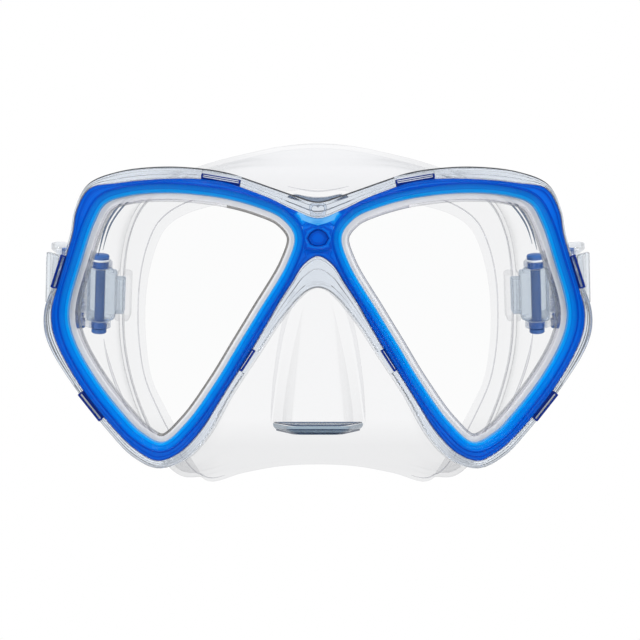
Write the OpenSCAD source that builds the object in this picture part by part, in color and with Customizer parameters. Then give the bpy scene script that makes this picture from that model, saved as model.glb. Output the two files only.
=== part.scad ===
// Two-lens diving mask. X is to the wearer's left, Y is towards the face, Z is up.
// The origin is on the centre plane at eye height, level with the rear of the skirt at the temples.

/* [Frame] */
// Distance from the face seal to the front of the frame
mask_depth = 68; // [62:1:74]
// Angle that each lens is swept back from the centre
sweep = 6; // [3:0.5:8]
// Thickness of the front of the retaining frame
bezel_t = 3; // [2.6:0.2:3.4]
// Thickness of the rear flange of the main frame
flange_t = 2; // [1.6:0.2:2.4]

/* [Lenses] */
// Thickness of the tempered glass
glass_t = 4; // [3.6:0.2:4.4]
// How far the glass reaches under the retaining frame
glass_lap = 1.2; // [0.8:0.2:1.4]

/* [Skirt] */
// Thickness of the silicone wall
wall_t = 1.6; // [1.4:0.1:2]
// Width of silicone that shows inside the retaining frame
lip_w = 2.6; // [2:0.2:3]
// Thickness of the floor of the nose pocket
nose_floor_t = 3.4; // [2.4:0.2:4]

/* [Buckles] */
// Angle that the buckle leans out from straight back
toe_out = 32; // [28:1:36]
// Angle that the buckle points up towards the crown
pitch = 14; // [14:1:24]
// Half the length of the lug between the cheeks
lug_half = 9; // [8.6:0.1:9.2]
// Radius of the pivot pin
pin_r = 1.65; // [1.5:0.05:1.7]
// Radius of the strap roller
roller_r = 3.4; // [3:0.1:3.6]

/* [Hidden] */
$fn = 48;

fit = 0.05;             // running and seating clearance
curve_steps = 3;        // straight pieces between two points of an outline
ring_steps = 3;         // the same round the skirt wall
wall_steps = 2;         // the same from the front to the rear of the skirt wall

// Stations along the lens axis, counted back from the front of the frame
lip_y = bezel_t;
glass_y = lip_y + 1.2;
rear_lip_y = glass_y + glass_t;
flange_y = rear_lip_y + 1.4;
collar_y = flange_y + flange_t;
collar_t = 2;

// Edge of one window in the retaining frame, clockwise from its inner top corner
window = [[7.8, 25.7], [11.8, 31.2], [18.4, 34.4], [30.8, 37.8], [48.6, 39.6], [61.6, 38.6],
    [68.4, 36.2], [72, 30.3], [76.2, 17.9], [79.9, 5], [80.2, -1], [78.2, -8], [71.9, -19],
    [63.2, -30.1], [57, -36.4], [50, -39.6], [42.6, -33.6], [33, -20.5], [25.7, -8.6],
    [19.5, 1.5], [10, 17.4]];

// Outer edge of the retaining frame from the top centre round to the nose arch.
// The third value is the width of clear rim that shows outside it.
frame_edge = [[0, 31.4, 5.3], [8.3, 34.3, 4.4], [15.5, 37.8, 3.4], [22.5, 40.5, 3.2],
    [28.8, 43, 2.8], [36, 44.3, 2.9], [49.4, 44.6, 3.5], [64, 43.4, 3.2], [73.2, 41.2, 1.7],
    [77.4, 34.5, 1], [78.9, 26.6, 1], [81.1, 19, 1], [83.6, 10.5, 1.7], [85.7, 3, 2.5],
    [85.6, -3, 2.9], [83.6, -9.3, 2.8], [76, -22.5, 2], [66, -34.9, 2.2], [58.3, -42.2, 2.6],
    [51.5, -45.6, 2.5], [45, -43.4, 2.8], [38.3, -36.9, 2.6], [29.8, -23.8, 1.8],
    [20.8, -9.5, 2.2], [16.3, -1.9, 2.6], [12.7, 4.4, 3.6]];
frame_arch = [[8.7, 10.5], [4.5, 16.8], [0, 19.3]];
rim_arch = [[5, 7.3], [0, 9.4]];

// Snap tabs of the retaining frame: [x, z, direction of the edge, length]
tabs = [[31.2, 43.6, 10, 12.7], [82.7, 14.4, -72, 11], [72.6, -28, -129, 11],
    [23.2, -13.2, 123, 8]];
tab_in = 1.2;
tab_out = 1.6;
tab_y = 0.6;
tab_t = 2;

// Skirt wall by stations round half of the mask: the ring on the collar in lens axes,
// then the shoulder, the rear fold and the free lip in mask axes
collar_ring = [[0, 35.2], [13, 38.4], [25, 42.6], [38, 45.6], [54, 46.2], [69.5, 43.1],
    [76.7, 33.5], [80.2, 20], [86.3, 2.5], [84, -10], [76.2, -23.8], [66, -35.4], [57.2, -43.6],
    [47.4, -45], [37.2, -37.2], [25.6, -17.2], [14.4, -0.9], [0, 10.9]];
shoulder = [[0, -44, 48], [12, -43.5, 48.6], [24.5, -42, 49.3], [38, -39, 47.5],
    [50.5, -36, 43.6], [59.4, -36, 38.2], [64.8, -36, 30.3], [66.7, -36.5, 20], [67.2, -37, 4],
    [66.8, -36.5, -9], [63.8, -35.5, -23], [58.8, -34.5, -35], [53, -35, -44], [46, -36.5, -48.5],
    [38.5, -38.5, -47], [27, -43, -36], [13, -46.5, -29], [0, -47.5, -26]];
fold = [[0, -30, 56.9], [12, -29.5, 56], [24, -28, 53.6], [38, -24, 50.1], [51.4, -16, 45.2],
    [60, -9, 38], [64.4, -4, 29], [66.8, -1, 18], [67.4, -0.2, 4], [66.9, -1, -9],
    [64, -5, -22], [59, -10, -35], [52.6, -15.5, -46.4], [45.5, -20, -52.5],
    [37.4, -25, -52.1], [25.6, -29.2, -48.9], [12.5, -33, -46.4], [0, -34.2, -45.8]];
lip = [[0, -31.5, 42.8], [11.5, -31, 42], [22, -29, 40.6], [34, -24.5, 38], [45, -18, 35],
    [52, -12, 30.5], [56.4, -7, 22], [58.9, -3.6, 12], [59.8, -2.4, 1], [59.2, -3.4, -10],
    [57, -7, -21], [52, -12, -31], [46.4, -17, -40.6], [41.8, -19.8, -49.4], [36.8, -22.5, -54.6],
    [25, -27.6, -51.5], [12.5, -31.6, -49], [0, -32.8, -48.3]];

waist = 0.98;           // how far the wall draws in beside the lugs

// Nose pocket: [height, half width of the front, half width of the back, front, back]
nose_top = [8.4, 4.6, 7.4, -55.3, -53.4];
nose_low = [-33.5, 9.6, 15.7, -66, -41.2];
nose_base = [-37.2, 8.6, 14.6, -65, -38.6];

// Buckle pivot, and the pieces of the buckle in its own axes: X out, Y back, Z along the pin
pivot = [73.1, -23, 7.9];
pivot_lean = 3;
lug_face = -5.4;        // where the lug meets the silicone boss
cheek_gap = lug_half + 0.2;
cheek_t = 2.2;
cheek_out = cheek_gap + cheek_t;
bush_r = pin_r + 1;
roller_at = [0.5, 14];
axle_r = 1.4;
lever_at = [3.2, 21.5];
lever_pin_r = 1;

// ---- curves ----

function knot(a, b) = sqrt(norm(b - a));
function blend(a, b, ta, tb, t) = (a * (tb - t) + b * (t - ta)) / (tb - ta);

// Point at s (0 to 1) between q[1] and q[2] on the smooth curve through the four points of q
function between(q, s) =
    let (t1 = knot(q[0], q[1]), t2 = t1 + knot(q[1], q[2]), t3 = t2 + knot(q[2], q[3]))
    let (t = t1 + (t2 - t1) * s)
    let (a = blend(q[0], q[1], 0, t1, t), b = blend(q[1], q[2], t1, t2, t))
    let (c = blend(q[2], q[3], t2, t3, t))
    blend(blend(a, b, 0, t2, t), blend(b, c, t1, t3, t), t1, t2, t);

function smooth_loop(p, steps) = [
    for (i = [0 : len(p) - 1], j = [0 : steps - 1])
        between([for (k = [-1 : 2]) p[(i + k + len(p)) % len(p)]], j / steps)];

// The curve through all points of p, with its ends carried straight on
function smooth_path(p, steps) =
    let (n = len(p), q = concat([2 * p[0] - p[1]], p, [2 * p[n - 1] - p[n - 2]]))
    concat([for (i = [0 : n - 2], j = [0 : steps - 1])
        between([for (k = [0 : 3]) q[i + k]], j / steps)], [p[n - 1]]);

function flat(p) = [p.x, p.y];
function outward(a, b) = [a.y - b.y, b.x - a.x] / norm(flat(b) - flat(a));

// The loop c moved outward by d
function grown(c, d) =
    let (n = len(c))
    [for (i = [0 : n - 1]) c[i] + d * outward(c[(i + n - 1) % n], c[(i + 1) % n])];

// Half an outline and its mirror image, as one closed loop
function both_halves(p) =
    concat(p, [for (i = [len(p) - 2 : -1 : 1]) [for (k = [0 : len(p[i]) - 1])
        k == 0 ? -p[i][0] : p[i][k]]]);

last_edge = len(frame_edge) - 1;
rim_points = [for (i = [0 : last_edge])
    let (a = i == 0 ? [-8.3, 34.3] : frame_edge[i - 1])
    let (b = i == last_edge ? frame_arch[0] : frame_edge[i + 1])
    flat(frame_edge[i]) + frame_edge[i].z * outward(a, b)];
blue_points = concat([for (p = frame_edge) flat(p)], frame_arch);

window_loop = smooth_loop(window, curve_steps);
blue_loop = smooth_loop(both_halves(blue_points), curve_steps);
rim_loop = smooth_loop(both_halves(concat(rim_points, rim_arch)), curve_steps);

// ---- placing ----

// A solid of the outline between two stations behind the front of the frame
module slab(loop, y0, y1)
    translate([0, y1, 0]) rotate([90, 0, 0]) linear_extrude(y1 - y0) polygon(loop);

module on_lens_axis()
    translate([0, -mask_depth, 0]) rotate([0, 0, sweep]) children();

// The children on the swept right half, cut at the centre plane, and their mirror image
module both_sides()
    for (side = [0, 1]) mirror([side, 0, 0])
        intersection() {
            on_lens_axis() children();
            translate([0, -100, -80]) cube([120, 120, 160]);
        }

module sided(left)
    mirror([left ? 1 : 0, 0, 0]) children();

module on_pivot()
    translate(pivot) rotate([0, -pivot_lean, 0]) rotate([pitch, 0, 0]) children();

module on_buckle()
    on_pivot() rotate([0, 0, -toe_out]) children();

module at_tabs(grow)
    for (t = tabs) translate([t.x, 0, t.y]) rotate([0, -t[2], 0])
        translate([-t[3] / 2 - grow, tab_y - grow, -tab_in])
            cube([t[3] + 2 * grow, tab_t + 2 * grow, tab_in + tab_out + 10 * grow]);

// ---- skirt ----

function collar_point(p) = [
    p.x * cos(sweep) - (collar_y + 1.1) * sin(sweep) * (p.x > 0 ? 1 : 0),
    -mask_depth + p.x * sin(sweep) + (collar_y + 1.1) * cos(sweep), p.y];

wall_count = len(collar_ring);
// Point of the narrowest stretch of the wall, between its shoulder b and its fold c
function waist_point(b, c) = let (m = b * 0.55 + c * 0.45) [m.x * waist, m.y, m.z];
wall_loops = [for (k = [0 : 5]) smooth_loop(both_halves([for (i = [0 : wall_count - 1])
    let (a = collar_point(collar_ring[i]), b = shoulder[i], c = fold[i], d = lip[i])
    [a, b, waist_point(b, c), c + (b - c) * 0.16 + [0, -0.5, 0], c, d][k]]), ring_steps)];
around = len(wall_loops[0]);
wall_rows = [for (i = [0 : around - 1]) smooth_path([for (w = wall_loops) w[i]], wall_steps)];
along = len(wall_rows[0]);

// Unit normal of the wall at ring position i and row j
function wall_normal(i, j) =
    let (du = wall_rows[(i + 1) % around][j] - wall_rows[(i + around - 1) % around][j])
    let (dv = wall_rows[i][min(j + 1, along - 1)] - wall_rows[i][max(j - 1, 0)])
    let (n = cross(du, dv)) n / norm(n);

module skirt_wall() {
    sides = [for (s = [1, -1], i = [0 : around - 1], j = [0 : along - 1])
        wall_rows[i][s > 0 ? j : along - 1 - j] +
            s * wall_t / 2 * wall_normal(i, s > 0 ? j : along - 1 - j)];
    ring = 2 * along;
    function at(i, j) = j < along ? (i % around) * along + j
        : around * along + (i % around) * along + j - along;
    polyhedron(sides, [for (i = [0 : around - 1], j = [0 : ring - 1], h = [0, 1])
        let (a = at(i, j), b = at(i + 1, j), c = at(i + 1, (j + 1) % ring))
        let (d = at(i, (j + 1) % ring))
        h == 0 ? [a, c, b] : [a, d, c]]);
}

// Closed wedge for the nose, shrunk all round by inset and carried back by reach
module nose_wedge(inset, reach, top_cut, floor_cut) {
    function section(n, z) = [
        [-n[2] + inset, n[4] + reach, z], [-n[1] + inset - 1.2, n[3] + 2.2 + inset, z],
        [-n[1] + inset + 1.2, n[3] + inset, z], [n[1] - inset - 1.2, n[3] + inset, z],
        [n[1] - inset + 1.2, n[3] + 2.2 + inset, z], [n[2] - inset, n[4] + reach, z]];
    low = blend(nose_top, nose_low, 0, 1, floor_cut > 0 ? 0.99 : 1);
    rows = floor_cut > 0
        ? [section(nose_top, nose_top[0] - top_cut), section(low, nose_base[0] + floor_cut)]
        : [section(nose_top, nose_top[0]), section(nose_low, nose_low[0]),
            section(nose_base, nose_base[0])];
    count = len(rows);
    points = [for (r = rows) each r];
    polyhedron(points, concat([[for (k = [5 : -1 : 0]) k]],
        [for (r = [0 : count - 2], k = [0 : 5], h = [0, 1])
            let (a = r * 6 + k, b = r * 6 + (k + 1) % 6)
            h == 0 ? [a, b, b + 6] : [a, b + 6, a + 6]],
        [[for (k = [0 : 5]) (count - 1) * 6 + k]]));
}

// Thick pad of silicone that the buckle lug plugs into
module lug_boss()
    on_pivot() translate([lug_face - 5, -5.4, -7.9]) cube([5, 10.8, 15.8]);

module lug_tongue(grow)
    on_pivot() translate([lug_face - 3 - grow, -3.2 - grow, -5.9 - grow])
        cube([3.4 + grow, 6.4 + 2 * grow, 11.8 + 2 * grow]);

// Groove that holds the lens edge, and the collar behind the main frame that the wall starts from
module lens_seats()
    both_sides() difference() {
        union() {
            slab(grown(blue_loop, -1.2), lip_y + fit, flange_y);
            slab(grown(window_loop, 0.4), flange_y - 0.6, collar_y + 1);
            slab(grown(rim_loop, -1.5), collar_y + fit, collar_y + collar_t);
        }
        slab(grown(window_loop, -lip_w), lip_y - 1, glass_y + 1);
        slab(grown(window_loop, glass_lap + fit), glass_y - fit, rear_lip_y + fit);
        slab(grown(window_loop, -lip_w + 1), rear_lip_y - 1, collar_y + 5);
    }

// resize() to no size leaves the shape as it is, and joins it into one mesh
module skirt()
    color("gainsboro", 0.6) resize([0, 0, 0]) difference() {
        union() {
            lens_seats();
            skirt_wall();
            nose_wedge(0, 0, 0, 0);
            for (side = [false, true]) sided(side) lug_boss();
        }
        nose_wedge(wall_t + 0.2, 14, 1.6, nose_floor_t);
        for (side = [false, true]) sided(side) lug_tongue(fit);
    }

// ---- frames and lenses ----

module main_frame()
    color("aliceblue", 0.6) union() {
        both_sides() difference() {
            slab(rim_loop, 1, collar_y);
            slab(grown(blue_loop, 0.15), 0, lip_y + 0.01);
            slab(grown(blue_loop, -1.1), lip_y, flange_y + fit);
            slab(grown(window_loop, 0.5), flange_y - 1, collar_y + 1);
            at_tabs(0.1);
        }
        top_catch();
    }

// Small block on the top edge above the nose
module top_catch()
    translate([-2.9, -mask_depth - 0.4, 32.6]) cube([5.8, 2.4, 3.4]);

// Lozenge recess in the middle of the bridge
module bridge_recess()
    translate([0, -mask_depth + 1, 24.5]) rotate([90, 0, 0])
        linear_extrude(3) polygon([[-4.1, 0], [-2.4, 2.9], [2.4, 2.9], [4.1, 0],
            [2.4, -2.9], [-2.4, -2.9]]);

module retaining_frame()
    color("royalblue", 0.85) difference() {
        union() {
            both_sides() {
                difference() {
                    slab(blue_loop, 0, lip_y);
                    slab(grown(window_loop, 2.4), -1, 0.8);
                    slab(window_loop, -1, lip_y + 1);
                }
                difference() {
                    at_tabs(0);
                    slab(window_loop, -1, lip_y + 1);
                }
            }
        }
        bridge_recess();
    }

module lens(left)
    color("azure", 0.35) sided(left) on_lens_axis()
        slab(grown(window_loop, glass_lap), glass_y, rear_lip_y);

// ---- buckle ----

module buckle_lug(left)
    color("lightsteelblue", 0.8) sided(left) difference() {
        union() {
            on_pivot() intersection() {
                union() {
                    cylinder(h = 2 * lug_half, r = 4.4, center = true);
                    translate([lug_face, -4.4, -7.9]) cube([-lug_face, 8.8, 15.8]);
                }
                translate([lug_face + fit, -10, -20]) cube([20, 20, 40]);
            }
            lug_tongue(0);
        }
        on_pivot() cylinder(h = 40, r = pin_r + fit, center = true);
    }

module pivot_pin(left)
    color("midnightblue") sided(left) on_pivot() {
        translate([0, 0, -cheek_out - 2]) cylinder(h = 1.95, r = bush_r - 0.1);
        translate([0, 0, -cheek_out - 1]) cylinder(h = 2 * cheek_out + 2.2, r = pin_r);
    }

module pivot_cap(left)
    color("midnightblue") sided(left) on_pivot() difference() {
        translate([0, 0, cheek_out + fit]) cylinder(h = 2.2, r = bush_r + 0.2);
        cylinder(h = cheek_out + 1.3, r = pin_r + 0.02);
    }

module pivot_bushes(left)
    color("royalblue") sided(left) on_buckle() for (side = [0, 1]) mirror([0, 0, side])
        translate([0, 0, cheek_gap - 0.1]) difference() {
            cylinder(h = cheek_t + 0.1, r = bush_r);
            translate([0, 0, -1]) cylinder(h = cheek_t + 2, r = pin_r + fit);
        }

module cheek()
    translate([0, 0, cheek_gap]) linear_extrude(cheek_t) difference() {
        union() {
            circle(4);
            translate(roller_at) circle(4.9);
            translate([1.4, 29]) circle(3.2);
            polygon([[3.98, 0], [5.4, 14], [4.6, 29], [-1.8, 29], [-4.4, 14], [-3.98, 0]]);
        }
        circle(bush_r + fit);
        translate(roller_at) circle(axle_r + fit);
        translate(lever_at) circle(lever_pin_r + fit);
    }

module buckle_frame(left)
    color("whitesmoke", 0.6) sided(left) on_buckle() union() {
        for (side = [0, 1]) mirror([0, 0, side]) cheek();
        translate([4.2, 4.8, -cheek_out]) cube([1.6, 5.6, 2 * cheek_out]);
        translate([-1.4, 27.6, -cheek_gap - 1]) cube([2.8, 3.4, 2 * cheek_gap + 2]);
    }

module roller_axle(left)
    color("midnightblue") sided(left) on_buckle() translate([roller_at.x, roller_at.y, 0])
        cylinder(h = 2 * cheek_out + 0.6, r = axle_r, center = true);

module strap_roller(left)
    color("lightsteelblue", 0.8) sided(left) on_buckle() translate([roller_at.x, roller_at.y, 0])
        difference() {
            cylinder(h = 2 * cheek_gap - 0.4, r = roller_r, center = true);
            cylinder(h = 40, r = axle_r + fit, center = true);
        }

module lever_pin(left)
    color("midnightblue") sided(left) on_buckle() translate([lever_at.x, lever_at.y, 0])
        cylinder(h = 2 * cheek_out, r = lever_pin_r, center = true);

module release_lever(left) {
    hub_end = cheek_gap - 0.3;
    spring_half = 2.4;
    color("aliceblue", 0.7) sided(left) on_buckle() difference() {
        union() {
            translate([lever_at.x, lever_at.y, -hub_end]) cylinder(h = 2 * hub_end, r = 2.1);
            translate([0, 0, -hub_end]) linear_extrude(2 * hub_end)
                polygon([[1.5, 21], [3.1, 18], [4.2, 17.8], [5.3, 21.5]]);
            translate([0, 0, -8]) linear_extrude(16)
                polygon([[3.2, 23.2], [5.2, 21.8], [7.4, 31.6], [6.2, 32.2]]);
        }
        translate([lever_at.x, lever_at.y, 0]) cylinder(h = 40, r = lever_pin_r + fit, center = true);
        translate([0, lever_at.y - 2.4, -spring_half]) cube([8, 4.9, 2 * spring_half]);
    }
}

module lever_spring(left)
    color("silver") sided(left) on_buckle() translate([lever_at.x, lever_at.y, 0]) {
        for (turn = [-3 : 3]) translate([0, 0, turn * 0.6])
            rotate_extrude() translate([1.6, 0]) circle(0.36, $fn = 16);
    }

skirt();
main_frame();
retaining_frame();
lens(true);  // left_lens
lens(false);  // right_lens
buckle_lug(true);  // left_buckle_lug
pivot_pin(true);  // left_pivot_pin
pivot_cap(true);  // left_pivot_cap
pivot_bushes(true);  // left_pivot_bushes
buckle_frame(true);  // left_buckle_frame
roller_axle(true);  // left_roller_axle
strap_roller(true);  // left_strap_roller
lever_pin(true);  // left_lever_pin
release_lever(true);  // left_release_lever
lever_spring(true);  // left_lever_spring
buckle_lug(false);  // right_buckle_lug
pivot_pin(false);  // right_pivot_pin
pivot_cap(false);  // right_pivot_cap
pivot_bushes(false);  // right_pivot_bushes
buckle_frame(false);  // right_buckle_frame
roller_axle(false);  // right_roller_axle
strap_roller(false);  // right_strap_roller
lever_pin(false);  // right_lever_pin
release_lever(false);  // right_release_lever
lever_spring(false);  // right_lever_spring
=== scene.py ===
from math import cos, pi, radians, sin, sqrt

import bmesh
import bpy
import numpy as np
from mathutils import Matrix, Vector
from mathutils.geometry import delaunay_2d_cdt


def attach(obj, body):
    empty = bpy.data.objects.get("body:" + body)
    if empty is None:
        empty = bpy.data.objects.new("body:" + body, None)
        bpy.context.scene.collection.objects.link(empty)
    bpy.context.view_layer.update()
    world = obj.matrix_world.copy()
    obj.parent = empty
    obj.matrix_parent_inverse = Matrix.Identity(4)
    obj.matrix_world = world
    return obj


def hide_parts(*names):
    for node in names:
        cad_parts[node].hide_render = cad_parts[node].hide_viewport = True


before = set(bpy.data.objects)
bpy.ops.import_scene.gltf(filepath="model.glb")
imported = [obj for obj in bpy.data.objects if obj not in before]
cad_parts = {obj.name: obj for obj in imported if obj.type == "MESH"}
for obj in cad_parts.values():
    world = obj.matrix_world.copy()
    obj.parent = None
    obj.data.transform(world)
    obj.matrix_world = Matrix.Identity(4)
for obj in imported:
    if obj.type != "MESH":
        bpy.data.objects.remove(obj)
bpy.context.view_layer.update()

MM = 0.001
SIDES = (("left", -1), ("right", 1))    # as seen from the front, with the sign of x

# ---- sizes, in millimetres ----

MASK_DEPTH = 68
SWEEP = radians(6)
FOLD_R = 5              # how far the fold at the bridge is rounded
# Stations along the lens axis, back from the front of the blue frame
LIP_Y, GLASS_Y, REAR_LIP_Y, FLANGE_Y, COLLAR_Y = 3, 4.2, 8.2, 9.6, 11.6
FIT = 0.05              # clearance between pieces
PIVOT = Vector((73.1, -23, 7.9))
PITCH, LEAN, TOE_OUT = radians(14), radians(3), radians(32)
LUG_HALF, LUG_FACE, PIN_R, ROLLER_R, AXLE_R, LEVER_PIN_R = 9, -5.4, 1.65, 3.4, 1.4, 1
BLOCK_HALF = 7.9        # half the length of the block between lug and skirt
CHEEK_GAP, CHEEK_T = 9.2, 2.2
CHEEK_OUT = CHEEK_GAP + CHEEK_T
BUSH_R = PIN_R + 1
ROLLER_AT, LEVER_AT = (0.5, 14), (3.2, 21.5)
STEPS, WALL_STEPS = 8, 6        # points from one given point of a curve to the next

# Opening round the lens at positive x, clockwise from its inner top corner
WINDOW = [(7.8, 25.7), (11.8, 31.2), (18.4, 34.4), (30.8, 37.8), (48.6, 39.6), (61.6, 38.6),
    (68.4, 36.2), (72, 30.3), (76.2, 17.9), (79.9, 5), (80.2, -1), (78.2, -8), (71.9, -19),
    (63.2, -30.1), (57, -36.4), (50, -39.6), (42.6, -33.6), (33, -20.5), (25.7, -8.6),
    (19.5, 1.5), (10, 17.4)]
# Outer edge of the blue frame from the top centre round to the arch over the nose, with the
# width of clear rim outside it
EDGE = [(0, 31.4, 5.3), (8.3, 34.3, 4.4), (15.5, 37.8, 3.4), (22.5, 40.5, 3.2), (28.8, 42.7, 3.1),
    (36, 43.9, 3.3), (49.4, 44.1, 4.0), (64, 42.9, 3.7), (73.2, 41.2, 1.7), (77.4, 34.5, 1),
    (78.9, 26.6, 1), (81.1, 19, 1), (83.6, 10.5, 1.7), (85.7, 3, 2.5), (85.6, -3, 2.9),
    (83.6, -9.3, 2.8), (76, -22.5, 2), (66, -34.9, 2.2), (58.3, -42.2, 2.6), (51.5, -45.6, 2.5),
    (45, -43.4, 2.8), (38.3, -36.9, 2.6), (29.8, -23.8, 1.8), (20.8, -9.5, 2.2),
    (16.3, -1.9, 2.6), (12.7, 4.4, 3.6)]
EDGE_ARCH = [(8.7, 10.5), (4.5, 16.8), (0, 19.3)]
RIM_ARCH = [(7, 5.5, 3.5), (3.3, 8.5, 3.5), (0, 9.4, 3.5)]
# Snap tabs: x, z, direction of the edge, length
TABS = [(31.2, 43.2, 10, 12.7), (82.7, 14.4, -72, 11), (72.6, -28, -129, 11),
    (23.2, -13.2, 123, 8)]
# How far each tab stands out, and the slots in it by where they start and end
TAB_SLOTS = [(1.5, (0.34, 0.62, 0.88, 1.16)), (1.75, (0.24, 1.05)), (1.5, (0.2, 0.85)),
    (1.25, (0.34, 0.6))]

# Skirt wall by stations round half of the mask: the ring on the collar in lens axes, then the
# shoulder, the rear fold and the free lip in mask axes
COLLAR_RING = [(0, 35.2), (13, 38.4), (25, 42.6), (38, 45.6), (54, 46.2), (69.5, 43.1),
    (76.7, 33.5), (80.2, 20), (86.3, 2.5), (84, -10), (76.2, -23.8), (66, -35.4), (57.2, -43.6),
    (47.4, -45), (37.2, -37.2), (25.6, -17.2), (14.4, -0.9), (0, 10.9)]
SHOULDER = [(0, -44, 48), (12, -43.5, 48.6), (24.5, -42, 49.3), (38, -39, 47.5),
    (50.5, -36, 43.6), (59.4, -36, 38.2), (64.8, -36, 30.3), (66.7, -36.5, 20), (67.2, -37, 4),
    (66.8, -36.5, -9), (63.8, -35.5, -23), (58.8, -34.5, -35), (53, -35, -44), (46, -36.5, -48.5),
    (38.5, -38.5, -47), (27, -43, -36), (13, -46.5, -29), (0, -47.5, -26)]
FOLD = [(0, -30, 56.9), (12, -29.5, 56), (24, -28, 53.6), (38, -24, 50.1), (51.4, -16, 45.2),
    (60, -9, 38), (64.4, -4, 29), (66.8, -1, 18), (67.4, -0.2, 4), (66.9, -1, -9),
    (64, -5, -22), (59, -10, -35), (52.6, -15.5, -46.4), (45.5, -20, -52.5),
    (37.4, -25, -52.1), (25.6, -29.2, -48.9), (12.5, -33, -46.4), (0, -34.2, -45.8)]
FREE_LIP = [(0, -31.5, 42.8), (11.5, -31, 42), (22, -29, 40.6), (34, -24.5, 38), (45, -18, 35),
    (52, -12, 30.5), (56.4, -7, 22), (58.9, -3.6, 12), (59.8, -2.4, 1), (59.2, -3.4, -10),
    (57, -7, -21), (52, -12, -31), (46.4, -17, -40.6), (41.8, -19.8, -49.4), (36.8, -22.5, -54.6),
    (25, -27.6, -51.5), (12.5, -31.6, -49), (0, -32.8, -48.3)]
# Nose pocket: height, half width of the front, half width of the back, front and back in depth
NOSE = [(8.4, 4.9, 8.2, -55.6, -53.4), (6.7, 5.5, 9.4, -55.9, -53), (0.5, 6.2, 11.4, -57.4, -51.2),
    (-6.2, 6.8, 12.8, -59, -49.4), (-13, 7.5, 13.9, -60.8, -47.4), (-21.6, 8.3, 15, -63, -45),
    (-29, 9.1, 15.5, -64.9, -42.6), (-33.5, 9.5, 15.6, -65.9, -41.2), (-36, 9.2, 15.2, -65.7, -40),
    (-37.2, 8.6, 14.6, -65, -38.6)]
NOSE_CORNERS = [0.6, 2.2, 1.8, 1.8, 2.2, 0.6]
CURL_R, CURL_Z = 2.6, -34.6     # radius of the nose pocket's lower edge, and where it starts

# ---- curves ----


def between(q, s):
    """The centripetal curve through four points, at s from 0 to 1 between the middle two."""
    p = [np.array(k, float) for k in q]
    t = np.cumsum([0] + [sqrt(np.linalg.norm(p[i + 1] - p[i])) for i in range(3)])
    x = t[1] + (t[2] - t[1]) * s

    def mix(a, b, i, j):
        return (a * (t[j] - x) + b * (x - t[i])) / (t[j] - t[i])
    a, b, c = mix(p[0], p[1], 0, 1), mix(p[1], p[2], 1, 2), mix(p[2], p[3], 2, 3)
    return mix(mix(a, b, 0, 2), mix(b, c, 1, 3), 1, 2)


def smooth_loop(p, steps):
    n = len(p)
    return np.array([between([p[(i + k) % n] for k in (-1, 0, 1, 2)], j / steps)
                     for i in range(n) for j in range(steps)])


def smooth_path(p, steps):
    p = [np.array(k, float) for k in p]
    q = [2 * p[0] - p[1]] + p + [2 * p[-1] - p[-2]]
    return np.array([between(q[i:i + 4], j / steps)
                     for i in range(len(p) - 1) for j in range(steps)] + [p[-1]])


def outward(loop):
    """Unit normals at the points of a clockwise loop."""
    d = np.roll(loop, -1, 0)[:, :2] - np.roll(loop, 1, 0)[:, :2]
    n = np.stack([-d[:, 1], d[:, 0]], 1)
    return n / np.linalg.norm(n, axis=1)[:, None]


def grown(loop, d):
    """The clockwise loop moved outward by d, which is one number or one for each point."""
    return loop[:, :2] + outward(loop) * np.reshape(d, (-1, 1))


def both_halves(p):
    """An outline from the top centre to the bottom centre, with its mirror image as one loop."""
    return list(p) + [(-k[0],) + tuple(k[1:]) for k in p[-2:0:-1]]


def mirrored(loop):
    return loop[::-1] * np.array([-1, 1])


def circle(x, y, r):
    n = 48
    return np.array([(x + r * sin(2 * pi * i / n), y + r * cos(2 * pi * i / n)) for i in range(n)])


def rounded(points, r):
    """A clockwise outline with rounded corners, r being one radius or one for each corner."""
    out = []
    count, n = len(points), 6
    for i, p in enumerate(points):
        p = Vector(p)
        a, b = Vector(points[i - 1]) - p, Vector(points[(i + 1) % count]) - p
        size = r[i] if isinstance(r, (list, tuple)) else r
        reach = min(size, 0.49 * a.length, 0.49 * b.length)
        s, e = p + a.normalized() * reach, p + b.normalized() * reach
        out += [tuple(s.lerp(p, t).lerp(p.lerp(e, t), t)) for t in (k / n for k in range(n + 1))]
    return np.array(out)


def rim_loop():
    """Outer edge of the clear rim, as (x, z, width of the rim)."""
    near = [(-EDGE[1][0], EDGE[1][1])] + [k[:2] for k in EDGE] + EDGE_ARCH[:1]
    points = []
    for (x, z, width), before, after in zip(EDGE, near, near[2:]):
        n = Vector((before[1] - after[1], after[0] - before[0])).normalized() * width
        points.append((x + n.x, z + n.y, width))
    return smooth_loop(both_halves(points + RIM_ARCH), STEPS)


window = smooth_loop(WINDOW, STEPS)
windows = [window, mirrored(window)]
window_at = {1: windows[0], -1: windows[1]}
blue = smooth_loop(both_halves([k[:2] for k in EDGE] + EDGE_ARCH), STEPS)
rim, rim_width = np.split(rim_loop(), [2], axis=1)

# ---- places ----


def lens_place(u, z, y):
    """A point of the swept lens axes, y back from the front of the frame, with a rounded fold."""
    s = sqrt(u * u + FOLD_R * FOLD_R)
    return Vector((u * cos(SWEEP) - y * sin(SWEEP) * u / s,
                   -MASK_DEPTH + s * sin(SWEEP) + y * cos(SWEEP), z))


def pivot_place(side):
    turn = Matrix.Rotation(-LEAN, 4, "Y") @ Matrix.Rotation(PITCH, 4, "X")
    return Matrix.Diagonal((side, 1, 1, 1)) @ Matrix.Translation(PIVOT) @ turn


def buckle_place(side):
    return pivot_place(side) @ Matrix.Rotation(-TOE_OUT, 4, "Z")


def by_matrix(matrix):
    return lambda x, y, z: matrix @ Vector((x, y, z))


# ---- mesh making ----

TURN_SIDES = 56
AXIS = 1e-4             # the radius that stands for the axis of a turned solid


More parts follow.
